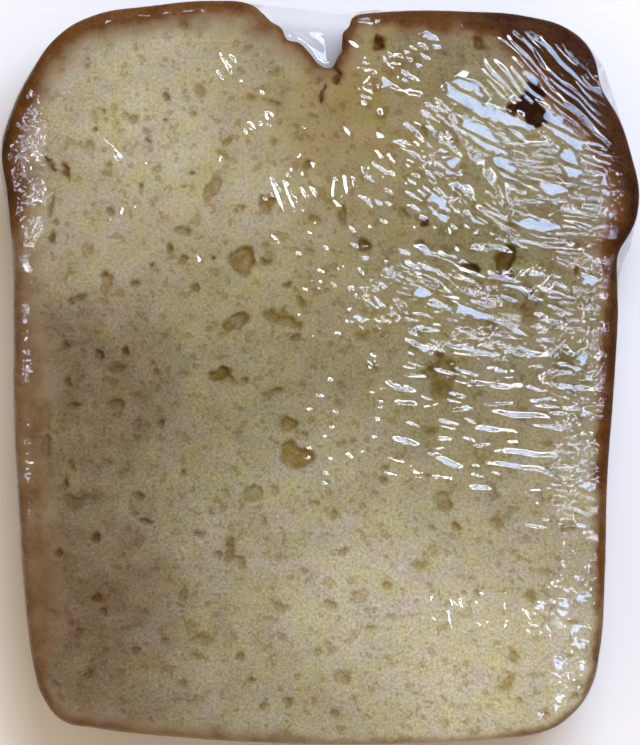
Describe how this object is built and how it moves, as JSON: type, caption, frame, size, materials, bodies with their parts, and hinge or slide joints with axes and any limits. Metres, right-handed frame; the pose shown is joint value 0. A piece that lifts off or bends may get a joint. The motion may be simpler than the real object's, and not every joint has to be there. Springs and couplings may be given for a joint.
{
  "type": "wrapped slice of pound cake",
  "caption": "Slice of pound cake with a split crown and a thin baked crust, drawn tight in clear cling film and lying on its back cut face.",
  "frame": {"origin": "middle of the slice's outline, on the surface that its back cut face lies on", "axes": "+Y from the flat foot of the loaf to its split crown; +Z from the back cut face to the front one; +X to the right, seen from the front"},
  "size_m": [0.0842, 0.098, 0.02],
  "materials": {
    "cake": "baked crumb and browned crust, matt",
    "cling_film": "clear stretched film, glossy"
  },
  "bodies": {
    "root": {"wrapped_cake_slice": "cake"}
  },
  "joints": []
}
